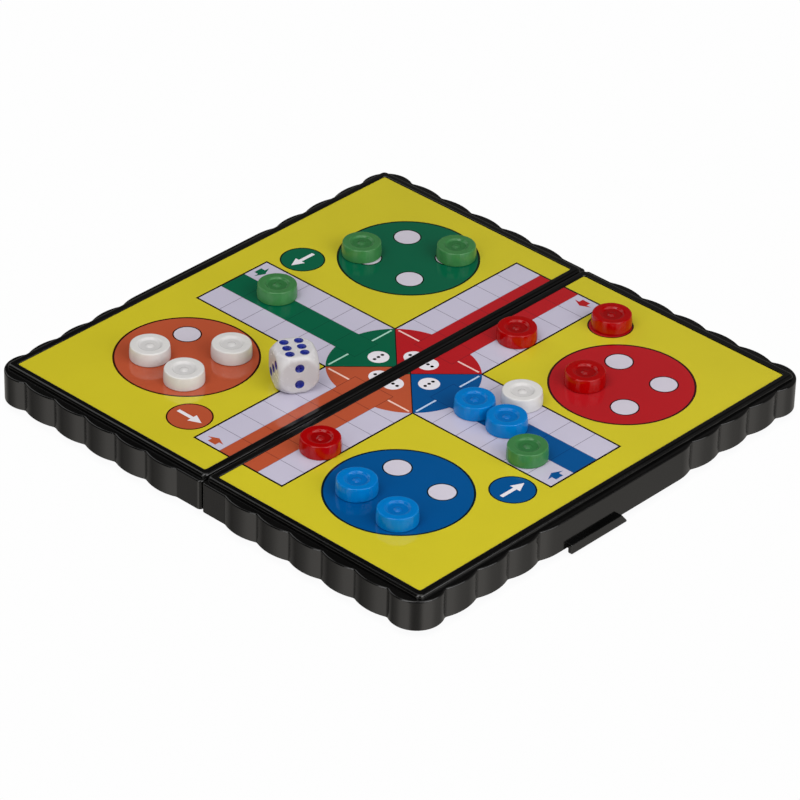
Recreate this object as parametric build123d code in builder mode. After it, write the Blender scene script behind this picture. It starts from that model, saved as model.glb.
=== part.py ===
from build123d import *
import os
from math import sqrt

# Folding ludo board box, open and lying flat with its playing face up.
# Two matching moulded trays stand mouth down, side by side, and hinge on the
# line where their rims meet.  Folded by half a turn, the trays close rim to
# rim into a flat case with the board on the outside.
#
# Frame: X runs across the seam, Y along the seam, Z up.  The origin is on the
# seam, midway along it, at the level of the surface the board lies on.
# All sizes are millimetres.

# ---------------------------------------------------------------- heights
AXIS_Z = 1.7            # hinge axis, level with the radius of the knuckles
RIM_Z = 1.8             # lower edge of the tray walls
PRINT_TOP = 11.9        # playing surface
BEAD_TOP = 12.3         # top of the raised frame round the playing surface
LEDGE_Z = 11.1          # top of the scalloped wall, outside the frame
PRINT_T = 0.2           # printed sheet
STEEL_T = 0.3           # steel sheet below it, which the magnets grip
DECK_T = 1.2            # moulded deck under the steel sheet
POCKET_Z = PRINT_TOP - PRINT_T - STEEL_T
CEILING_Z = POCKET_Z - DECK_T

# ---------------------------------------------------------------- plan
GAP = 0.15              # half of the clearance between the two trays
X_APEX, X_CUSP = 82.5, 81.25     # end wall: crest and valley of the scallops
Y_APEX, Y_CUSP = 80.6, 79.35     # side walls: crest and valley
CUSPS_X = [9.4, 21.6, 33.8, 46.0, 58.2, 70.4]   # valleys along a side wall
CUSPS_Y = [31.5, 43.8, 56.15, 68.5]             # valleys along the end wall
FLAT_Y = 25.4           # the end wall is plain between -FLAT_Y and FLAT_Y
CORNER_R = 7.85         # corner lobe
CUSP_FILLET = 1.2
SEAM_CORNER_R = 1.3
LEDGE_R = 0.5           # rounding of the top edge of the wall

BEAD_X, BEAD_Y = 80.4, 77.5      # outside of the raised frame
BEAD_CORNER_R, BEAD_R_OUT, BEAD_R_IN = 1.6, 0.95, 0.45
POCKET_X0, POCKET_X1, POCKET_Y = 2.62, 77.95, 75.05
SHEET_GAP = 0.04        # sheet to pocket wall

INNER_X0, INNER_X1, INNER_Y = 2.45, 79.6, 77.7  # inside of the walls
INNER_CORNER_R, INNER_SEAM_R = 5.0, 1.0

# ---------------------------------------------------------------- closing lip
LIP_Y0 = -21.2          # square end, on the right tray
LIP_Y1 = 2.2            # tip of the slanted end, at the bottom
LIP_Y1_TOP = -0.4       # slanted end, at the top
LIP_OUT = 1.5           # reach beyond the wall
LIP_CLEAR = 0.35        # room for the other tray's wall
LIP_TOP = 3.1
LIP_SHIFT = 2.0         # the left tray's lip sits this much further along, so
                        # that the two lips pass each other in the shut case

# ---------------------------------------------------------------- hinge
KNUCKLE_R = 1.7
NOTCH_R = 2.0
PIN_R = 0.6
PIN_RUN_R = 0.65        # bore that turns on the pin
PIN_CHANNEL_R = 0.9     # channel along the seam for pushing the pins in
KNUCKLE_GAP = 0.4
OUTER_KNUCKLES = [(38.1, 46.9), (57.1, 65.9)]   # pin is pressed in these
MIDDLE_KNUCKLE = (47.3, 56.7)                   # and turns in this one
PIN_Y0, PIN_Y1 = 38.5, 65.5

# ---------------------------------------------------------------- pieces
PAWN_R_BASE, PAWN_R_TOP, PAWN_H = 5.96, 5.74, 4.3
PAWN_EDGE_R = 0.42      # rounding of the top's outer edge
DISH_R0, DISH_R1, DISH_DEPTH = 3.85, 2.65, 0.6          # the top's round dish
BOSS_R, BOSS_H = 1.3, 0.5
MAGNET_R, MAGNET_T, MAGNET_LIFT = 3.9, 1.8, 0.15
DIE_A = 12.0            # across the flats
DIE_EDGE_R = 1.2        # rounding of the edges
DIE_BALL_R = 8.2        # the ball that rounds the corners off
DIE_SOFT_R = 0.8        # rounding where the ball meets the flats
DIE_X, DIE_Y, DIE_TURN = -16.3, -26.6, 59.8
PIP_R, PIP_DEPTH = 1.36, 0.4

PAWNS = {
    "green_1": (-31.10, 56.35), "green_2": (-51.80, 37.80),
    "green_3": (-52.70, 3.40), "green_4": (55.15, -7.75),
    "red_1": (26.15, 60.35), "red_2": (11.85, 35.60),
    "red_3": (41.15, 31.95), "red_4": (12.30, -45.25),
    "white_1": (-54.75, -45.65), "white_2": (-39.05, -28.70),
    "white_3": (-38.95, -47.55), "white_4": (35.45, 11.75),
    "blue_1": (28.90, -0.65), "blue_2": (41.05, -0.75),
    "blue_3": (33.65, -53.00), "blue_4": (51.20, -55.45),
}

os.makedirs("parts", exist_ok=True)


def lobe(start, end, crest):
    """One convex scallop from valley to valley, through its crest."""
    ThreePointArc(start, crest, end)


def half_lobe(valley, flat_end, radius):
    """Half a scallop, from a valley to where it runs into the plain wall."""
    cx = X_APEX - radius
    cy = flat_end[1]
    mx = cx + sqrt(radius**2 - ((valley[1] - cy) / 2) ** 2)
    return ThreePointArc(valley, (mx, (valley[1] + cy) / 2), flat_end)


# ================================================================ tray
# everything but the lip: the same for both trays
lobe_r = ((CUSPS_Y[0] - FLAT_Y) ** 2 + (X_APEX - X_CUSP) ** 2) / (2 * (X_APEX - X_CUSP))
corner_mid = CORNER_R * sqrt(0.5)

with BuildPart() as tray:
    # scalloped wall block, up to the ledge
    with BuildSketch(Plane.XY.offset(RIM_Z)) as outline:
        with BuildLine():
            # front side wall, from the seam outwards
            Line((GAP, -Y_CUSP), (CUSPS_X[0], -Y_CUSP))
            for a, b in zip(CUSPS_X[:-1], CUSPS_X[1:]):
                lobe((a, -Y_CUSP), (b, -Y_CUSP), ((a + b) / 2, -Y_APEX))
            # front corner lobe
            lobe((CUSPS_X[-1], -Y_CUSP), (X_CUSP, -CUSPS_Y[-1]),
                 (X_APEX - CORNER_R + corner_mid, -(Y_APEX - CORNER_R + corner_mid)))
            # end wall
            for a, b in zip(CUSPS_Y[::-1][:-1], CUSPS_Y[::-1][1:]):
                lobe((X_CUSP, -a), (X_CUSP, -b), (X_APEX, -(a + b) / 2))
            half_lobe((X_CUSP, -CUSPS_Y[0]), (X_APEX, -FLAT_Y), lobe_r)
            Line((X_APEX, -FLAT_Y), (X_APEX, FLAT_Y))
            half_lobe((X_CUSP, CUSPS_Y[0]), (X_APEX, FLAT_Y), lobe_r)
            for a, b in zip(CUSPS_Y[:-1], CUSPS_Y[1:]):
                lobe((X_CUSP, a), (X_CUSP, b), (X_APEX, (a + b) / 2))
            # rear corner lobe
            lobe((CUSPS_X[-1], Y_CUSP), (X_CUSP, CUSPS_Y[-1]),
                 (X_APEX - CORNER_R + corner_mid, Y_APEX - CORNER_R + corner_mid))
            # rear side wall, back to the seam
            for a, b in zip(CUSPS_X[:-1], CUSPS_X[1:]):
                lobe((a, Y_CUSP), (b, Y_CUSP), ((a + b) / 2, Y_APEX))
            Line((CUSPS_X[0], Y_CUSP), (GAP, Y_CUSP))
            Line((GAP, Y_CUSP), (GAP, -Y_CUSP))
        make_face()
        valleys = outline.vertices().filter_by(
            lambda v: (abs(abs(v.Y) - Y_CUSP) < 1e-3 and v.X > 1)
            or (abs(v.X - X_CUSP) < 1e-3))
        fillet(valleys, radius=CUSP_FILLET)
        fillet(outline.vertices().filter_by(lambda v: v.X < GAP + 1e-3), radius=SEAM_CORNER_R)
    extrude(amount=LEDGE_Z - RIM_Z)
    fillet(tray.faces().sort_by(Axis.Z)[-1].edges(), radius=LEDGE_R)

    # raised frame round the playing surface
    with BuildSketch(Plane.XY.offset(LEDGE_Z - 1.2)) as frame_plan:
        with Locations(((GAP + BEAD_X) / 2, 0)):
            Rectangle(BEAD_X - GAP, 2 * BEAD_Y)
        fillet(frame_plan.vertices(), radius=BEAD_CORNER_R)
    extrude(amount=BEAD_TOP - LEDGE_Z + 1.2)
    fillet(tray.faces().sort_by(Axis.Z)[-1].edges(), radius=BEAD_R_OUT)

    # pocket for the steel sheet and the printed sheet
    with BuildSketch(Plane.XY.offset(POCKET_Z)) as pocket:
        with Locations(((POCKET_X0 + POCKET_X1) / 2, 0)):
            Rectangle(POCKET_X1 - POCKET_X0, 2 * POCKET_Y)
        fillet(pocket.vertices(), radius=0.5)
    extrude(amount=BEAD_TOP - POCKET_Z + 1, mode=Mode.SUBTRACT)
    fillet(tray.edges().filter_by_position(Axis.Z, BEAD_TOP - 0.01, BEAD_TOP + 0.01)
           .filter_by(lambda e: POCKET_X0 - 0.1 < e.center().X < POCKET_X1 + 0.1
                      and abs(e.center().Y) < POCKET_Y + 0.1), radius=BEAD_R_IN)

    # the hollow under the deck
    with BuildSketch(Plane.XY.offset(RIM_Z)) as hollow:
        with Locations(((INNER_X0 + INNER_X1) / 2, 0)):
            Rectangle(INNER_X1 - INNER_X0, 2 * INNER_Y)
        fillet(hollow.vertices().sort_by(Axis.X)[:2], radius=INNER_SEAM_R)
        fillet(hollow.vertices().sort_by(Axis.X)[-2:], radius=INNER_CORNER_R)
    extrude(amount=CEILING_Z - RIM_Z, mode=Mode.SUBTRACT)

    # notches in the seam wall for the other tray's knuckles
    for a, b in [(MIDDLE_KNUCKLE[0], MIDDLE_KNUCKLE[1]),
                 (-OUTER_KNUCKLES[0][1], -OUTER_KNUCKLES[0][0]),
                 (-OUTER_KNUCKLES[1][1], -OUTER_KNUCKLES[1][0])]:
        with BuildSketch(Plane.XZ.offset(-(b + KNUCKLE_GAP))):
            with Locations((0, AXIS_Z)):
                Circle(NOTCH_R)
        extrude(amount=b - a + 2 * KNUCKLE_GAP, mode=Mode.SUBTRACT)
    # channel along the middle of the seam, through which the pins go in
    with BuildSketch(Plane.XZ.offset(-OUTER_KNUCKLES[0][0])):
        with Locations((0, AXIS_Z)):
            Circle(PIN_CHANNEL_R)
    extrude(amount=2 * OUTER_KNUCKLES[0][0], mode=Mode.SUBTRACT)

    # this tray's own knuckles
    for a, b in OUTER_KNUCKLES + [(-MIDDLE_KNUCKLE[1], -MIDDLE_KNUCKLE[0])]:
        with BuildSketch(Plane.XZ.offset(-b)):
            with Locations((0, AXIS_Z)):
                Circle(KNUCKLE_R)
        extrude(amount=b - a)
    # bores: pressed on the rear pin, running on the front pin
    with BuildSketch(Plane.XZ.offset(-OUTER_KNUCKLES[1][1])):
        with Locations((0, AXIS_Z)):
            Circle(PIN_R)
    extrude(amount=OUTER_KNUCKLES[1][1] - OUTER_KNUCKLES[0][0], mode=Mode.SUBTRACT)
    with BuildSketch(Plane.XZ.offset(MIDDLE_KNUCKLE[0])):
        with Locations((0, AXIS_Z)):
            Circle(PIN_RUN_R)
    extrude(amount=MIDDLE_KNUCKLE[1] - MIDDLE_KNUCKLE[0], mode=Mode.SUBTRACT)

# closing lip: a ledge on the end wall that turns down past the rim and
# reaches over the other tray's wall when the case is shut
with BuildPart() as lip:
    with BuildSketch(Plane.YZ.offset(X_APEX - 0.5)) as lip_side:
        with BuildLine():
            Polyline((LIP_Y0, 0), (LIP_Y1, 0), (LIP_Y1_TOP, LIP_TOP), (LIP_Y0, LIP_TOP), close=True)
        make_face()
        fillet(lip_side.vertices().filter_by(
            lambda v: abs(v.X - LIP_Y0) < 1e-6 and abs(v.Y) < 1e-6), radius=0.7)
        fillet(lip_side.vertices().filter_by(lambda v: abs(v.X - LIP_Y1) < 1e-6), radius=0.35)
        fillet(lip_side.vertices().filter_by(lambda v: abs(v.Y - LIP_TOP) < 1e-6), radius=0.4)
    extrude(amount=LIP_OUT + 0.5)
    fillet(lip.faces().sort_by(Axis.X)[-1].edges(), radius=0.25)
    with BuildSketch(Plane.XY) as lip_room:
        with Locations((X_APEX + LIP_CLEAR - 2, (LIP_Y0 + LIP_Y1) / 2)):
            Rectangle(4, LIP_Y1 - LIP_Y0 + 2)
    extrude(amount=RIM_Z, mode=Mode.SUBTRACT)

with BuildPart() as shell_right:
    add(tray.part)
    add(lip.part)

# the left tray is the same, turned half a turn about the vertical, with its
# lip further along
with BuildPart() as shell_left:
    add(tray.part.rotate(Axis.Z, 180))
    add(lip.part.rotate(Axis.Z, 180).translate((0, LIP_SHIFT, 0)))

# ================================================================ sheets
SHEET_X0, SHEET_X1 = POCKET_X0 + SHEET_GAP, POCKET_X1 - SHEET_GAP
SHEET_Y = POCKET_Y - SHEET_GAP

with BuildPart() as steel_sheet_right:
    with BuildSketch(Plane.XY.offset(POCKET_Z)) as s:
        with Locations(((SHEET_X0 + SHEET_X1) / 2, 0)):
            Rectangle(SHEET_X1 - SHEET_X0, 2 * SHEET_Y)
        fillet(s.vertices(), radius=0.5)
    extrude(amount=STEEL_T)

with BuildPart() as steel_sheet_left:
    with BuildSketch(Plane.XY.offset(POCKET_Z)) as s:
        with Locations((-(SHEET_X0 + SHEET_X1) / 2, 0)):
            Rectangle(SHEET_X1 - SHEET_X0, 2 * SHEET_Y)
        fillet(s.vertices(), radius=0.5)
    extrude(amount=STEEL_T)

with BuildPart() as print_sheet_right:
    with BuildSketch(Plane.XY.offset(POCKET_Z + STEEL_T)) as s:
        with Locations(((SHEET_X0 + SHEET_X1) / 2, 0)):
            Rectangle(SHEET_X1 - SHEET_X0, 2 * SHEET_Y)
        fillet(s.vertices(), radius=0.5)
    extrude(amount=PRINT_T)

with BuildPart() as print_sheet_left:
    with BuildSketch(Plane.XY.offset(POCKET_Z + STEEL_T)) as s:
        with Locations((-(SHEET_X0 + SHEET_X1) / 2, 0)):
            Rectangle(SHEET_X1 - SHEET_X0, 2 * SHEET_Y)
        fillet(s.vertices(), radius=0.5)
    extrude(amount=PRINT_T)

# ================================================================ hinge pins
# the front pin is pressed into the left tray's outer knuckles and turns in the
# right tray's middle one; the rear pin is the other way round
with BuildPart() as hinge_pin_front:
    with BuildSketch(Plane.XZ.offset(PIN_Y0)):
        with Locations((0, AXIS_Z)):
            Circle(PIN_R)
    extrude(amount=PIN_Y1 - PIN_Y0)
    chamfer(hinge_pin_front.edges().filter_by(GeomType.CIRCLE), length=0.15)

with BuildPart() as hinge_pin_rear:
    with BuildSketch(Plane.XZ.offset(-PIN_Y1)):
        with Locations((0, AXIS_Z)):
            Circle(PIN_R)
    extrude(amount=PIN_Y1 - PIN_Y0)
    chamfer(hinge_pin_rear.edges().filter_by(GeomType.CIRCLE), length=0.15)

# ================================================================ die
die_plane = Plane(origin=(DIE_X, DIE_Y, PRINT_TOP), x_dir=Vector(1, 0, 0).rotate(Axis.Z, DIE_TURN),
                  z_dir=(0, 0, 1))
# pip centres on each face, in that face's own plane: columns, then rows
P, Q, D = 3.2, 2.15, 2.6
PIPS = {
    1: [(0, 0)],
    2: [(0, D), (0, -D)],
    3: [(-D, -D), (0, 0), (D, D)],
    4: [(-D, D), (D, D), (-D, -D), (D, -D)],
    5: [(-D, D), (D, D), (0, 0), (-D, -D), (D, -D)],
    6: [(-Q, P), (-Q, 0), (-Q, -P), (Q, P), (Q, 0), (Q, -P)],
}
dx, dy = die_plane.x_dir, die_plane.y_dir
mid = die_plane.origin + Vector(0, 0, DIE_A / 2)
up = Vector(0, 0, 1)
FACES = {
    6: Plane(origin=mid + up * (DIE_A / 2), x_dir=dx, z_dir=up),
    1: Plane(origin=mid - up * (DIE_A / 2), x_dir=dx, z_dir=-up),
    2: Plane(origin=mid - dy * (DIE_A / 2), x_dir=dx, z_dir=-dy),
    5: Plane(origin=mid + dy * (DIE_A / 2), x_dir=-dx, z_dir=dy),
    3: Plane(origin=mid - dx * (DIE_A / 2), x_dir=dy, z_dir=-dx),
    4: Plane(origin=mid + dx * (DIE_A / 2), x_dir=dy, z_dir=dx),
}
with BuildPart() as die:
    with BuildSketch(die_plane):
        Rectangle(DIE_A, DIE_A)
    extrude(amount=DIE_A)
    fillet(die.edges(), radius=DIE_EDGE_R)
    with Locations(Location((mid.X, mid.Y, mid.Z), (0, 0, DIE_TURN))):
        Sphere(DIE_BALL_R, mode=Mode.INTERSECT)
    fillet(die.edges().filter_by(lambda e: abs((e.position_at(0.5) - mid).length - DIE_BALL_R) < 1e-3),
           radius=DIE_SOFT_R)
    # shallow dished pips: a ball of this radius cuts a dish of radius PIP_R
    ball_r = (PIP_R**2 + PIP_DEPTH**2) / (2 * PIP_DEPTH)
    for value, face in FACES.items():
        for u, w in PIPS[value]:
            c = face.from_local_coords(Vector(u, w, ball_r - PIP_DEPTH))
            with Locations((c.X, c.Y, c.Z)):
                Sphere(ball_r, mode=Mode.SUBTRACT)

# ================================================================ pawns
# a turned-over cup: a body a little wider below, a flat ring on top round a
# shallow dish with a small boss in its middle, and a round magnet pushed into
# its underside
boss_ball = (BOSS_R**2 + BOSS_H**2) / (2 * BOSS_H)          # the boss is a cap of a ball this big
slope_r = (((DISH_R0 - DISH_R1) / 2) ** 2 + (DISH_DEPTH / 2) ** 2) / DISH_DEPTH
for name, (px, py) in PAWNS.items():
    section = Plane(origin=(px, py, PRINT_TOP), x_dir=(1, 0, 0), z_dir=(0, -1, 0))
    axis = Axis((px, py, 0), (0, 0, 1))
    with BuildPart() as pawn:
        with BuildSketch(section):
            with BuildLine():
                H = PAWN_H
                l1 = Line((MAGNET_R + 0.05, 0), (PAWN_R_BASE - 0.38, 0))
                l2 = RadiusArc(l1 @ 1, (PAWN_R_BASE - 0.03, 0.35), -0.35)
                l3 = ThreePointArc(l2 @ 1, (PAWN_R_BASE, 1.5), (PAWN_R_TOP, H - PAWN_EDGE_R))
                l4 = RadiusArc(l3 @ 1, (PAWN_R_TOP - PAWN_EDGE_R, H), -PAWN_EDGE_R)
                l5 = Line(l4 @ 1, (DISH_R0, H))
                l6 = RadiusArc(l5 @ 1, ((DISH_R0 + DISH_R1) / 2, H - DISH_DEPTH / 2), -slope_r)
                l7 = RadiusArc(l6 @ 1, (DISH_R1, H - DISH_DEPTH), slope_r)
                l8 = Line(l7 @ 1, (BOSS_R, H - DISH_DEPTH))
                l9 = RadiusArc(l8 @ 1, (0, H - DISH_DEPTH + BOSS_H), -boss_ball)
                l10 = Line((0, H - DISH_DEPTH + BOSS_H), (0, MAGNET_LIFT + MAGNET_T))
                l11 = Line(l10 @ 1, (MAGNET_R + 0.05, MAGNET_LIFT + MAGNET_T))
                l12 = Line(l11 @ 1, l1 @ 0)
            make_face()
        revolve(axis=axis)
    pawn.part.label = f"pawn_{name}"
    export_step(pawn.part, f"parts/pawn_{name}.step")
    with BuildPart() as magnet:
        with BuildSketch(Plane(origin=(px, py, PRINT_TOP + MAGNET_LIFT))):
            Circle(MAGNET_R)
        extrude(amount=MAGNET_T)
        chamfer(magnet.edges().filter_by(GeomType.CIRCLE), length=0.15)
    magnet.part.label = f"magnet_{name}"
    export_step(magnet.part, f"parts/magnet_{name}.step")

# ================================================================ output
shell_left.part.label = "shell_left"
export_step(shell_left.part, "parts/shell_left.step")
shell_right.part.label = "shell_right"
export_step(shell_right.part, "parts/shell_right.step")
steel_sheet_left.part.label = "steel_sheet_left"
export_step(steel_sheet_left.part, "parts/steel_sheet_left.step")
steel_sheet_right.part.label = "steel_sheet_right"
export_step(steel_sheet_right.part, "parts/steel_sheet_right.step")
print_sheet_left.part.label = "print_sheet_left"
export_step(print_sheet_left.part, "parts/print_sheet_left.step")
print_sheet_right.part.label = "print_sheet_right"
export_step(print_sheet_right.part, "parts/print_sheet_right.step")
hinge_pin_front.part.label = "hinge_pin_front"
export_step(hinge_pin_front.part, "parts/hinge_pin_front.step")
hinge_pin_rear.part.label = "hinge_pin_rear"
export_step(hinge_pin_rear.part, "parts/hinge_pin_rear.step")
die.part.label = "die"
export_step(die.part, "parts/die.step")
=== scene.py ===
import math

import bmesh
import bpy
from mathutils import Matrix, Vector, geometry


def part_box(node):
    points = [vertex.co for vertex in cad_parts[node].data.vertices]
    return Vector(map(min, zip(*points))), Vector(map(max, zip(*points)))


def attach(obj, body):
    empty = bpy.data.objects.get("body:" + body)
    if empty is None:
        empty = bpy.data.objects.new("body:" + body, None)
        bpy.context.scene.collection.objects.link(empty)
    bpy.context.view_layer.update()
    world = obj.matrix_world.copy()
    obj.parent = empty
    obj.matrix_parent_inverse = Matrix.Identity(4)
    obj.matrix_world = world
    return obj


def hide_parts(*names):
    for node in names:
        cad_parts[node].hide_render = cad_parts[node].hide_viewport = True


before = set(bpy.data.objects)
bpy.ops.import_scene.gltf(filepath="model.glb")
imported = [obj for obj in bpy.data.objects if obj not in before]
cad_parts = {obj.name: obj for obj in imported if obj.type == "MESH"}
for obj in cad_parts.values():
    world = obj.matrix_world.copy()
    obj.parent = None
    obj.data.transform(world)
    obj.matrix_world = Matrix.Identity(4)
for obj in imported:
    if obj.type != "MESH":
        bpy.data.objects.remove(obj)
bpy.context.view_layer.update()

MM = 0.001
scene = bpy.context.scene
scene.view_settings.view_transform = "Standard"
scene.view_settings.look = "None"

# ---------------------------------------------------------------- camera
AZ, EL, ROLL = math.radians(42.662), math.radians(32.914), math.radians(1.484)
FOCAL_PX, TX, TY, DIST = 4669.10, 0.035, -1.463, 1326.42
back = Vector((math.sin(AZ) * math.cos(EL), -math.cos(AZ) * math.cos(EL), math.sin(EL)))
right = Vector((math.cos(AZ), math.sin(AZ), 0))
up = back.cross(right)
right_r = right * math.cos(ROLL) + up * math.sin(ROLL)
up_r = up * math.cos(ROLL) - right * math.sin(ROLL)
cam_data = bpy.data.cameras.new("camera")
cam_data.sensor_width = 36
cam_data.lens = 36 * FOCAL_PX / 800
cam_data.clip_start, cam_data.clip_end = 0.05, 20
camera = bpy.data.objects.new("camera", cam_data)
scene.collection.objects.link(camera)
place = (-TX * right_r - TY * up_r + DIST * back) * MM
camera.matrix_world = Matrix((
    (right_r.x, up_r.x, back.x, place.x),
    (right_r.y, up_r.y, back.y, place.y),
    (right_r.z, up_r.z, back.z, place.z),
    (0, 0, 0, 1)))
scene.camera = camera


# ---------------------------------------------------------------- node helpers
def srgb(r, g, b):
    """An sRGB colour of 0 to 255 as linear."""
    def one(v):
        v /= 255
        return v / 12.92 if v <= 0.04045 else ((v + 0.055) / 1.055) ** 2.4
    return (one(r), one(g), one(b), 1.0)


class Net:
    """Short calls for building a node tree."""

    def __init__(self, tree):
        self.t = tree

    def add(self, kind, inputs=None, **props):
        n = self.t.nodes.new(kind)
        for k, v in props.items():
            setattr(n, k, v)
        for k, v in (inputs or {}).items():
            if isinstance(v, bpy.types.NodeSocket):
                self.t.links.new(v, n.inputs[k])
            else:
                n.inputs[k].default_value = v
        return n

    def noise(self, coord, scale, detail=2.0, rough=0.5):
        return self.add("ShaderNodeTexNoise", {"Vector": coord, "Scale": scale, "Detail": detail, "Roughness": rough}).outputs["Fac"]

    def span(self, value, a, b, lo, hi):
        return self.add("ShaderNodeMapRange", {"Value": value, "From Min": a, "From Max": b, "To Min": lo, "To Max": hi}).outputs["Result"]

    def maths(self, op, a, b=0.0, c=0.0):
        return self.add("ShaderNodeMath", {0: a, 1: b, 2: c}, operation=op).outputs[0]

    def mix(self, fac, a, b, blend="MIX"):
        n = self.t.nodes.new("ShaderNodeMix")
        n.data_type = "RGBA"
        n.blend_type = blend
        for i, v in ((0, fac), (6, a), (7, b)):
            if isinstance(v, bpy.types.NodeSocket):
                self.t.links.new(v, n.inputs[i])
            else:
                n.inputs[i].default_value = v
        return n.outputs[2]

    def scale_colour(self, colour, value):
        """colour times a scalar socket."""
        n = self.add("ShaderNodeVectorMath", {0: colour[:3], "Scale": value}, operation="SCALE")
        return n.outputs[0]


def material(name, rough, ior=1.5):
    """A new Principled material: (material, net, shader, object coordinates)."""
    m = bpy.data.materials.new(name)
    m.use_nodes = True
    net = Net(m.node_tree)
    shader = m.node_tree.nodes["Principled BSDF"]
    shader.inputs["Roughness"].default_value = rough
    shader.inputs["IOR"].default_value = ior
    coord = net.add("ShaderNodeTexCoord").outputs["Object"]
    return m, net, shader, coord


def link(net, a, b):
    net.t.links.new(a, b)


def bump(net, shader, height, strength, distance):
    n = net.add("ShaderNodeBump", {"Height": height, "Strength": strength, "Distance": distance})
    link(net, n.outputs["Normal"], shader.inputs["Normal"])


# ---------------------------------------------------------------- materials
def black_plastic():
    m, n, s, co = material("black_plastic", 0.3, 1.5)
    cloud = n.noise(co, 60, 4)
    grain = n.noise(co, 2600, 3)
    dust = n.add("ShaderNodeTexVoronoi", {"Vector": co, "Scale": 260, "Randomness": 1.0}, feature="F1")
    speck = n.span(dust.outputs["Distance"], 0.0, 0.045, 1.0, 0.0)
    few = n.span(n.noise(co, 45, 1), 0.6, 0.66, 0.0, 1.0)
    speck = n.maths("MULTIPLY", speck, few)
    base = n.mix(n.span(cloud, 0.35, 0.65, 0, 1), (0.0013, 0.0013, 0.0013, 1), (0.0022, 0.0021, 0.002, 1))
    base = n.mix(n.maths("MULTIPLY", speck, 0.2), base, (0.1, 0.098, 0.09, 1))
    link(n, base, s.inputs["Base Color"])
    r = n.maths("ADD", n.span(cloud, 0.3, 0.7, 0.12, 0.18), n.span(grain, 0.3, 0.7, -0.02, 0.02))
    link(n, n.maths("ADD", r, n.maths("MULTIPLY", speck, 0.3)), s.inputs["Roughness"])
    bump(n, s, n.maths("ADD", n.maths("MULTIPLY", grain, 0.35), n.noise(co, 260, 2)), 0.35, 0.00004)
    return m


def ink(name, colour, dark=0.965, light=1.035):
    """Printed ink under a glossy laminate."""
    m, n, s, co = material("ink_" + name, 0.2, 1.5)
    cloud = n.noise(co, 28, 3)
    dots = n.noise(co, 5200, 2)
    value = n.maths("MULTIPLY", n.span(cloud, 0.3, 0.7, dark, light), n.span(dots, 0.25, 0.75, 0.975, 1.025))
    link(n, n.scale_colour(colour, value), s.inputs["Base Color"])
    link(n, n.span(n.noise(co, 90, 3), 0.3, 0.7, 0.08, 0.12), s.inputs["Roughness"])
    bump(n, s, n.noise(co, 420, 2), 0.25, 0.00002)
    return m


def pawn_plastic(name, colour, deep, top, centre, clear=0.25, shine=0.4):
    """Slightly clear moulded plastic with painted shade: its top ring and the dish in its middle are painted darker.
    """
    m, n, s, co = material(name, 0.22, 1.5)
    gen = n.add("ShaderNodeTexCoord").outputs["Generated"]
    off = n.add("ShaderNodeVectorMath", {0: gen, 1: (0.5, 0.5, 0.0)}, operation="SUBTRACT").outputs[0]
    flat = n.add("ShaderNodeVectorMath", {0: off, 1: (11.92, 11.92, 0.0)}, operation="MULTIPLY").outputs[0]
    radius = n.add("ShaderNodeVectorMath", {0: flat}, operation="LENGTH").outputs["Value"]
    cloud = n.noise(co, 240, 3)
    base = n.mix(n.span(cloud, 0.3, 0.7, 0, 1), deep, colour)
    height = n.add("ShaderNodeSeparateXYZ", {0: gen}).outputs["Z"]
    # painted shade: the top ring, the highest part of the pawn, is blended to the darker top colour so that the top
    # reads darker than the sides
    base = n.mix(n.span(height, 0.92, 0.99, 0.0, 1.0), base, top)
    # painted shade: the dish, inside a radius of 2.6 to 3.8 mm and high on the pawn, is blended to the darker centre
    # colour
    over = n.span(radius, 2.6, 3.8, 1.0, 0.0)
    base = n.mix(n.maths("MULTIPLY", over, n.span(height, 0.55, 0.8, 0.0, 1.0)), base, centre)
    link(n, base, s.inputs["Base Color"])
    s.inputs["Subsurface Weight"].default_value = clear
    s.inputs["Subsurface Radius"].default_value = (0.0018, 0.0018, 0.0018)
    s.inputs["Subsurface Scale"].default_value = 1.0
    s.inputs["Specular IOR Level"].default_value = shine
    link(n, n.span(n.noise(co, 900, 3), 0.3, 0.7, 0.08, 0.13), s.inputs["Roughness"])
    bump(n, s, n.noise(co, 500, 3), 0.3, 0.00003)
    return m


def steel(name, value, along):
    m, n, s, co = material(name, 0.3, 1.5)
    s.inputs["Metallic"].default_value = 1.0
    mapped = n.add("ShaderNodeMapping", {"Vector": co, "Scale": along}).outputs[0]
    line = n.noise(mapped, 900, 4)
    c = n.mix(n.span(line, 0.3, 0.7, 0, 1), (value * 0.8, value * 0.8, value * 0.82, 1), (value, value, value * 1.02, 1))
    link(n, c, s.inputs["Base Color"])
    link(n, n.span(line, 0.3, 0.7, 0.24, 0.42), s.inputs["Roughness"])
    bump(n, s, line, 0.2, 0.00003)
    return m


def ferrite():
    m, n, s, co = material("ferrite", 0.5, 1.6)
    grain = n.noise(co, 1800, 4)
    c = n.mix(n.span(grain, 0.3, 0.7, 0, 1), (0.035, 0.035, 0.038, 1), (0.075, 0.075, 0.08, 1))
    link(n, c, s.inputs["Base Color"])
    link(n, n.span(grain, 0.3, 0.7, 0.42, 0.6), s.inputs["Roughness"])
    bump(n, s, grain, 0.4, 0.00005)
    return m


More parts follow.
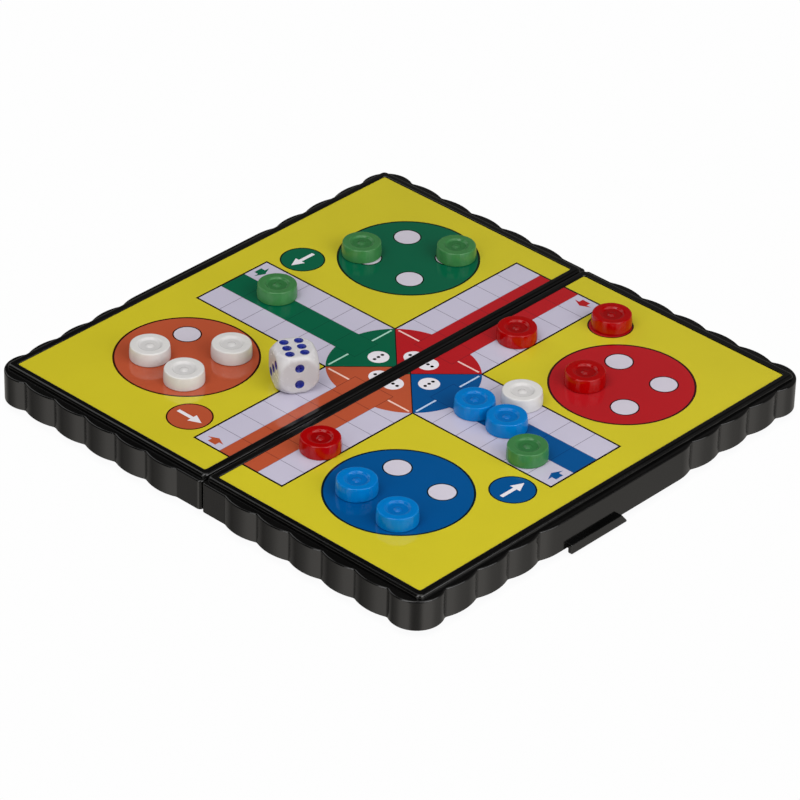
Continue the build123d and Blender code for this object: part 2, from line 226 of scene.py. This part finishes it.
def die_plastic():
    m, n, s, co = material("die_plastic", 0.25, 1.5)
    cloud = n.noise(co, 140, 3)
    c = n.mix(n.span(cloud, 0.3, 0.7, 0, 1), srgb(200, 197, 199), srgb(203, 201, 202))
    link(n, c, s.inputs["Base Color"])
    s.inputs["Subsurface Weight"].default_value = 0.6
    s.inputs["Subsurface Radius"].default_value = (0.0024, 0.0024, 0.0024)
    s.inputs["Subsurface Scale"].default_value = 1.0
    link(n, n.span(n.noise(co, 700, 3), 0.3, 0.7, 0.25, 0.28), s.inputs["Roughness"])
    soft = n.add("ShaderNodeBevel", {"Radius": 0.0011}, samples=8)
    rough = n.add("ShaderNodeBump", {"Height": n.noise(co, 380, 3), "Strength": 0.1, "Distance": 0.00002, "Normal": soft.outputs[0]})
    link(n, rough.outputs["Normal"], s.inputs["Normal"])
    return m


def pip_paint():
    m, n, s, co = material("pip_paint", 0.3, 1.5)
    cloud = n.noise(co, 1200, 3)
    c = n.mix(n.span(cloud, 0.3, 0.7, 0, 1), srgb(8, 20, 100), srgb(18, 38, 140))
    link(n, c, s.inputs["Base Color"])
    link(n, n.span(cloud, 0.3, 0.7, 0.22, 0.38), s.inputs["Roughness"])
    bump(n, s, cloud, 0.25, 0.00003)
    return m


BLACK = black_plastic()
INKS = {
    "yellow": ink("yellow", srgb(201, 188, 40)),
    "white": ink("white", srgb(192, 187, 205)),
    "dot": ink("dot", srgb(204, 198, 210)),
    "green": ink("green", srgb(0, 91, 62)),
    "red": ink("red", srgb(173, 24, 31)),
    "blue": ink("blue", srgb(0, 77, 138)),
    "orange": ink("orange", srgb(178, 80, 50)),
    "black": ink("black", srgb(24, 18, 14)),
    "grey": ink("grey", srgb(112, 106, 124)),
    "green_line": ink("green_line", srgb(0, 72, 52)),
    "red_line": ink("red_line", srgb(132, 22, 32)),
    "blue_line": ink("blue_line", srgb(0, 58, 116)),
    "orange_line": ink("orange_line", srgb(118, 50, 36)),
    "green_rim": ink("green_rim", srgb(4, 34, 14)),
    "red_rim": ink("red_rim", srgb(52, 8, 12)),
    "blue_rim": ink("blue_rim", srgb(4, 28, 38)),
    "orange_rim": ink("orange_rim", srgb(52, 18, 8)),
    "mark": ink("mark", srgb(226, 222, 228)),
    "orange_mark": ink("orange_mark", srgb(236, 200, 186)),
    "blue_mark": ink("blue_mark", srgb(186, 206, 232)),
    "red_mark": ink("red_mark", srgb(236, 194, 190)),
    "green_mark": ink("green_mark", srgb(166, 212, 194)),
    "back": ink("back", srgb(205, 203, 200)),
}
# top and centre are painted-shade colours: darker shades for each pawn's top ring and its dish
PAWN_MATERIALS = {
    "red": pawn_plastic("pawn_red", srgb(176, 0, 2), srgb(164, 0, 1), top=srgb(158, 0, 2), centre=srgb(141, 0, 2), clear=0.15, shine=0.3),
    "green": pawn_plastic("pawn_green", srgb(68, 136, 76), srgb(60, 127, 70), top=srgb(61, 119, 67), centre=srgb(47, 107, 57), clear=0.25, shine=0.34),
    "blue": pawn_plastic("pawn_blue", srgb(0, 128, 204), srgb(0, 120, 196), top=srgb(0, 113, 186), centre=srgb(0, 101, 174), clear=0.25, shine=0.22),
    "white": pawn_plastic("pawn_white", srgb(219, 217, 216), srgb(213, 211, 210), top=srgb(211, 209, 207), centre=srgb(201, 199, 198), clear=0.2, shine=0.35),
}
STEEL = steel("tinned_steel", 0.55, (1, 12, 1))
PIN = steel("pin_steel", 0.6, (8, 1, 8))
FERRITE = ferrite()
DIE, PIP = die_plastic(), pip_paint()


def dress(node, *mats):
    """Puts materials on a CAD node's own slots."""
    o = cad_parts[node]
    o.data.materials.clear()
    for m in mats:
        o.data.materials.append(m)
    return o


for node in ("shell_left", "shell_right"):
    dress(node, BLACK)
for node in ("steel_sheet_left", "steel_sheet_right"):
    dress(node, STEEL)
for node in ("hinge_pin_front", "hinge_pin_rear"):
    dress(node, PIN)
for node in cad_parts:
    if node.startswith("pawn_"):
        dress(node, PAWN_MATERIALS[node.split("_")[1]])
    elif node.startswith("magnet_"):
        dress(node, FERRITE)

# the die's pips: the faces of the dishes, found by their places on each side
DIE_HALF, P, Q, D = 6.0, 3.2, 2.15, 2.6
PIP_PLACES = {
    1: [(0, 0)],
    2: [(0, D), (0, -D)],
    3: [(-D, -D), (0, 0), (D, D)],
    4: [(-D, D), (D, D), (-D, -D), (D, -D)],
    5: [(-D, D), (D, D), (0, 0), (-D, -D), (D, -D)],
    6: [(-Q, P), (-Q, 0), (-Q, -P), (Q, P), (Q, 0), (Q, -P)],
}
ex, ey, ez = Vector((1, 0, 0)), Vector((0, 1, 0)), Vector((0, 0, 1))
SIDES = {6: (ez, ex, ey), 1: (-ez, ex, -ey), 2: (-ey, ex, ez), 5: (ey, -ex, ez), 3: (-ex, ey, -ez), 4: (ex, ey, ez)}
die = dress("die", DIE, PIP)
lo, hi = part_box("die")
die_mid = (Vector(lo) + Vector(hi)) / 2
turn = Matrix.Rotation(math.radians(-59.8), 3, "Z")
for p in die.data.polygons:
    q = [turn @ (die.matrix_world @ die.data.vertices[i].co - die_mid) / MM for i in p.vertices]
    for value, (out_, u_, v_) in SIDES.items():
        if min(c.dot(out_) for c in q) < DIE_HALF - 0.6 or sum(c.dot(out_) for c in q) / len(q) > DIE_HALF - 0.004:
            continue
        for pu, pv in PIP_PLACES[value]:
            if max(math.hypot(c.dot(u_) - pu, c.dot(v_) - pv) for c in q) < 1.4:
                p.material_index = 1


# ---------------------------------------------------------------- the printed board
# The print is drawn as closed shapes in millimetres, in the board's own plan
# with no seam: x is the plan's, and the real x is 2.66 mm further out.
SEAM = 2.66
SHEET_X, SHEET_Y, SHEET_R = 75.25, 75.01, 0.5
TOP_Z, BOTTOM_Z = 11.9, 11.7


PRINT_DX, PRINT_DY = 0.7, 0.35    # the print sits this far off the board's middle


def turn4(points, k):
    """points turned k quarter turns, counterclockwise, and moved to the print's middle."""
    for _ in range(k):
        points = [(-y, x) for x, y in points]
    return [(x + PRINT_DX, y + PRINT_DY) for x, y in points]


def circle(cx, cy, r, n):
    return [(cx + r * math.cos(2 * math.pi * i / n), cy + r * math.sin(2 * math.pi * i / n)) for i in range(n)]


def box(x0, y0, x1, y1):
    return [(x0, y0), (x1, y0), (x1, y1), (x0, y1)]


def bar(x0, y0, x1, y1, w):
    """A straight line of width w."""
    dx, dy = x1 - x0, y1 - y0
    s = w / 2 / math.hypot(dx, dy)
    nx, ny = -dy * s, dx * s
    return [(x0 + nx, y0 + ny), (x1 + nx, y1 + ny), (x1 - nx, y1 - ny), (x0 - nx, y0 - ny)]


ARM, LANE, REACH, DISC = 14.28, 4.72, 66.1, 20.2
ORDER = ("orange", "blue", "red", "green")   # arms from -Y, counterclockwise
shapes = []    # (ink, outline), later ones over earlier ones


def wedge(radius, n=28):
    """The arm's share of the middle: out to the disc, in to the centre."""
    a = math.asin(ARM / radius)
    arc = [(radius * math.sin(-a + 2 * a * i / n), -radius * math.cos(-a + 2 * a * i / n)) for i in range(n + 1)]
    return arc + [(0.0, 0.0)]


OUT = 0.62
for k, colour in enumerate(ORDER):
    def put(name, points, k=k):
        shapes.append((name, turn4(points, k)))
    # base with its four dots
    bx, by = -45.55, -38.55
    put(colour + "_rim", circle(bx, by, 21.1, 128))
    put(colour, circle(bx, by, 21.1 - OUT, 128))
    for sx in (-8.4, 8.4):
        for sy in (-8.4, 8.4):
            put(colour + "_rim", circle(bx + sx, by + sy, 4.25, 56))
            put("dot", circle(bx + sx, by + sy, 3.84, 56))
    # starting disc with its arrow
    put(colour + "_rim", circle(-22.7, -59.7, 6.7, 72))
    put(colour, circle(-22.7, -59.7, 6.25, 72))
    put("mark", [(-22.7 + x, -59.7 + y) for x, y in
                 ((-4.6, -0.6), (0.9, -0.6), (0.9, -1.85), (4.7, 0.0), (0.9, 1.85), (0.9, 0.6), (-4.6, 0.6))])

for k, colour in enumerate(ORDER):
    def put(name, points, k=k):
        shapes.append((name, turn4(points, k)))
    w = OUT / 2
    put("black", box(-ARM - w, -REACH - w, ARM + w, -ARM + w))
for k, colour in enumerate(ORDER):
    def put(name, points, k=k):
        shapes.append((name, turn4(points, k)))
    w = OUT / 2
    put("white", box(-ARM + w, -REACH + w, ARM - w, -ARM + w + 0.02))
    for i in range(5):
        y = -57.2 + 8.9 * i
        put("grey", box(-ARM + w, y - 0.09, ARM - w, y + 0.09))
    put("grey", box(-LANE - 0.1, -REACH + w, LANE + 0.1, -ARM))
    put(colour, box(-LANE, -REACH + w, LANE, -ARM))
    for i in range(5):
        y = -57.2 + 8.9 * i
        put(colour + "_line", box(-LANE, y - 0.1, LANE, y + 0.1))
    # the arrow in the first cell
    put(colour, [(-9.1 + x, -63.1 + y) for x, y in
                 ((-1.45, -1.55), (1.45, -1.55), (1.45, 0.0), (3.15, 0.0), (0.0, 1.55), (-3.15, 0.0), (-1.45, 0.0))])

for k, colour in enumerate(ORDER):
    def put(name, points, k=k):
        shapes.append((name, turn4(points, k)))
    put(colour, wedge(DISC))
    # the end of the lane, printed faintly over the middle
    put(colour + "_line", bar(-LANE, -DISC, -LANE, -12.1, 0.2))
    put(colour + "_line", bar(LANE, -DISC, LANE, -12.1, 0.2))
    put(colour + "_line", bar(-LANE - 0.1, -12.1, LANE + 0.1, -12.1, 0.2))
for k, colour in enumerate(ORDER):
    def put(name, points, k=k):
        shapes.append((name, turn4(points, k)))
    put("black", bar(-ARM - 0.1, -ARM - 0.1, 0, 0, 0.32))
    put(colour + "_mark", bar(-13.0, -14.4, -4.9, -14.4, 0.6))
    put(colour + "_mark", bar(4.9, -14.4, 13.0, -14.4, 0.6))
for k, colour in enumerate(ORDER):
    def put(name, points, k=k):
        shapes.append((name, turn4(points, k)))
    put("mark", circle(0.0, -7.2, 3.1, 48))
    for x in (-1.6, 0.0, 1.6):
        put("black", circle(x, -7.2, 0.55, 20))


def inside(px, py, points):
    hit = False
    x0, y0 = points[-1]
    for x1, y1 in points:
        if (y0 > py) != (y1 > py) and px < (x1 - x0) * (py - y0) / (y1 - y0) + x0:
            hit = not hit
        x0, y0 = x1, y1
    return hit


def rounded_sheet(side):
    """The outline of one half of the print."""
    x0, x1 = (0.0, SHEET_X) if side > 0 else (-SHEET_X, 0.0)
    pts = []
    for cx, cy, a0 in ((x1 - SHEET_R, SHEET_Y - SHEET_R, 0), (x0 + SHEET_R, SHEET_Y - SHEET_R, 90),
                       (x0 + SHEET_R, -SHEET_Y + SHEET_R, 180), (x1 - SHEET_R, -SHEET_Y + SHEET_R, 270)):
        for i in range(7):
            a = math.radians(a0 + 15 * i)
            pts.append((cx + SHEET_R * math.cos(a), cy + SHEET_R * math.sin(a)))
    return pts


BOXES = [(min(p[0] for p in s), min(p[1] for p in s), max(p[0] for p in s), max(p[1] for p in s)) for _, s in shapes]
INK_NAMES = list(INKS)


def printed_board(name, side):
    """One half of the print: a thin sheet whose top is cut along every colour's edge."""
    rim = rounded_sheet(side)
    verts, edges = [], []
    loops = [rim] + [s for (_, s), b in zip(shapes, BOXES) if (b[2] > -0.01 if side > 0 else b[0] < 0.01)]
    for loop in loops:
        base = len(verts)
        verts += [Vector(p) for p in loop]
        edges += [(base + i, base + (i + 1) % len(loop)) for i in range(len(loop))]
    out, _, faces, *_ = geometry.delaunay_2d_cdt(verts, edges, [], 0, 1e-5, False)
    bm = bmesh.new()
    top = {}
    low = {}

    def corner(i, store, z):
        if i not in store:
            x = out[i].x + SEAM * side
            store[i] = bm.verts.new((x * MM, out[i].y * MM, z * MM))
        return store[i]

    kept, count = [], {}
    for f in faces:
        cx = sum(out[i].x for i in f) / len(f)
        cy = sum(out[i].y for i in f) / len(f)
        if not inside(cx, cy, rim):
            continue
        area = 0.5 * abs((out[f[1]].x - out[f[0]].x) * (out[f[2]].y - out[f[0]].y)
                         - (out[f[2]].x - out[f[0]].x) * (out[f[1]].y - out[f[0]].y))
        if area < 1e-9:
            continue
        ink_name = "yellow"
        for (colour, s), b in zip(shapes, BOXES):
            if b[0] <= cx <= b[2] and b[1] <= cy <= b[3] and inside(cx, cy, s):
                ink_name = colour
        kept.append((f, ink_name))
        for i in range(len(f)):
            a, b2 = f[i], f[(i + 1) % len(f)]
            count[(a, b2)] = count.get((a, b2), 0) + 1
    for f, ink_name in kept:
        face = bm.faces.new([corner(i, top, TOP_Z) for i in f])
        face.material_index = INK_NAMES.index(ink_name)
        face = bm.faces.new([corner(i, low, BOTTOM_Z) for i in reversed(f)])
        face.material_index = INK_NAMES.index("back")
    for (a, b2) in count:
        if (b2, a) not in count:
            face = bm.faces.new([corner(a, top, TOP_Z), corner(a, low, BOTTOM_Z), corner(b2, low, BOTTOM_Z), corner(b2, top, TOP_Z)])
            face.material_index = INK_NAMES.index("back")
    bmesh.ops.recalc_face_normals(bm, faces=bm.faces)
    mesh = bpy.data.meshes.new(name)
    bm.to_mesh(mesh)
    bm.free()
    for n in INK_NAMES:
        mesh.materials.append(INKS[n])
    o = bpy.data.objects.new(name, mesh)
    scene.collection.objects.link(o)
    return o


for name, side, node, body in (("printed_board_left", -1, "print_sheet_left", "left_tray"),
                               ("printed_board_right", 1, "print_sheet_right", "right_tray")):
    sheet = printed_board(name, side)
    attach(sheet, body)
    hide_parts(node)

# ---------------------------------------------------------------- floor, backdrop and light
floor_mesh = bpy.data.meshes.new("floor")
S = 6.0
floor_mesh.from_pydata([(-S, -S, -0.0001), (S, -S, -0.0001), (S, S, -0.0001), (-S, S, -0.0001)], [], [(0, 1, 2, 3)])
floor = bpy.data.objects.new("floor", floor_mesh)
scene.collection.objects.link(floor)
fm = bpy.data.materials.new("floor")
fm.use_nodes = True
fm.node_tree.nodes.clear()
n = Net(fm.node_tree)
path = n.add("ShaderNodeLightPath")
# painted contact shadow: to the camera, the see-through floor is darkened near the board by ambient occlusion
ao = n.add("ShaderNodeAmbientOcclusion", {"Distance": 0.004}, samples=24)
painted_contact_shadow = n.mix(n.span(ao.outputs["AO"], 0.3, 0.8, 0.0, 1.0), (0.95, 0.95, 0.955, 1), (1, 1, 1, 1))
see = n.add("ShaderNodeBsdfTransparent", {"Color": painted_contact_shadow})
clear = n.add("ShaderNodeBsdfTransparent")
solid = n.add("ShaderNodeBsdfDiffuse", {"Color": (0.36, 0.355, 0.35, 1)})
m1 = n.add("ShaderNodeMixShader", {0: path.outputs["Is Camera Ray"], 1: solid.outputs[0], 2: see.outputs[0]})
unseen = n.maths("MAXIMUM", path.outputs["Is Shadow Ray"], path.outputs["Is Glossy Ray"])
m2 = n.add("ShaderNodeMixShader", {0: unseen, 1: m1.outputs[0], 2: clear.outputs[0]})
out = n.add("ShaderNodeOutputMaterial", {0: m2.outputs[0]})
floor_mesh.materials.append(fm)

world = bpy.data.worlds.new("studio")
scene.world = world
world.use_nodes = True
world.node_tree.nodes.clear()
n = Net(world.node_tree)
path = n.add("ShaderNodeLightPath")
way = n.add("ShaderNodeTexCoord").outputs["Generated"]
z = n.add("ShaderNodeSeparateXYZ", {0: way}).outputs["Z"]
front, side = (0.678, -0.735, 0.0), (0.735, 0.678, 0.0)    # the studio's own front and right
across = n.add("ShaderNodeVectorMath", {0: way, 1: side}, operation="DOT_PRODUCT").outputs["Value"]
# a pale wall behind the board, brighter low down and to the right
card = n.maths("ADD", n.maths("MULTIPLY", across, 0.75), n.maths("MULTIPLY_ADD", z, -1.6, 0.92))
card = n.add("ShaderNodeClamp", {"Value": card, "Min": 0.012, "Max": 0.15}).outputs[0]
card = n.maths("MULTIPLY", card, n.span(z, -0.05, 0.02, 0.0, 1.0))
high = n.span(z, 0.75, 1.0, 0.0, 0.33)
# the table that the sides mirror: bright in front of the board but for a dark
# patch straight ahead, dim at its left, brighter again far left and at the right
ahead = n.add("ShaderNodeVectorMath", {0: way, 1: front}, operation="DOT_PRODUCT").outputs["Value"]
ramp = n.add("ShaderNodeValToRGB", {"Fac": n.maths("MULTIPLY_ADD", ahead, 0.5, 0.5)})
STOPS = ((0.0, 0.26), (0.195, 0.38), (0.375, 0.16), (0.53, 0.39), (0.6, 0.6), (0.69, 0.98), (0.8, 1.2), (0.855, 1.3),
         (0.895, 0.32), (1.0, 0.24))
band = ramp.color_ramp
while len(band.elements) < len(STOPS):
    band.elements.new(0.5)
for e, (at, value) in zip(band.elements, STOPS):
    e.position = at
for e, (at, value) in zip(band.elements, STOPS):
    e.color = (value, value, value, 1)
extra = n.maths("MULTIPLY", n.span(across, 0.0, 1.0, 0.0, 0.26), n.span(ahead, -0.75, -0.3, 0.0, 1.0))
table = n.maths("MULTIPLY", n.maths("ADD", ramp.outputs["Color"], extra), n.span(z, -0.04, 0.0, 1.0, 0.0))
under = n.span(z, -0.85, -0.55, 0.5, 0.0)
level = n.maths("MAXIMUM", n.maths("MAXIMUM", high, card), n.maths("MAXIMUM", under, table))
tint = n.mix(n.span(z, -0.04, 0.0, 1.0, 0.0), (1, 0.975, 0.95, 1), (1, 0.96, 0.9, 1))
room = n.add("ShaderNodeBackground", {"Color": tint, "Strength": level})
pale = n.add("ShaderNodeBackground", {"Color": (0.99, 0.99, 0.99, 1), "Strength": 1.0})
mixed = n.add("ShaderNodeMixShader", {0: path.outputs["Is Camera Ray"], 1: room.outputs[0], 2: pale.outputs[0]})
n.add("ShaderNodeOutputWorld", {0: mixed.outputs[0]})


def softbox(name, azimuth, elevation, distance, size, watts):
    """A square soft light that faces the board from that azimuth and elevation."""
    a, e = math.radians(azimuth), math.radians(elevation)
    d = Vector((math.sin(a) * math.cos(e), -math.cos(a) * math.cos(e), math.sin(e)))
    lamp = bpy.data.lights.new(name, "AREA")
    lamp.shape = "SQUARE"
    lamp.size = size
    lamp.energy = watts
    o = bpy.data.objects.new(name, lamp)
    o.location = d * distance
    o.rotation_mode = "QUATERNION"
    o.rotation_quaternion = d.to_track_quat("Z", "Y")
    scene.collection.objects.link(o)
    return o


softbox("key", 8, 58, 0.9, 0.5, 2.4)
softbox("fill", 82, 50, 0.9, 0.5, 1.5)
softbox("top", 42, 86, 0.95, 0.95, 1.8)
softbox("front_left", 4, 24, 0.9, 0.4, 1.6)
softbox("front_right", 82, 24, 0.9, 0.4, 1.7)
softbox("left", -84, 38, 0.9, 0.6, 1.2)
softbox("right", 110, 32, 0.9, 0.5, 2.0)
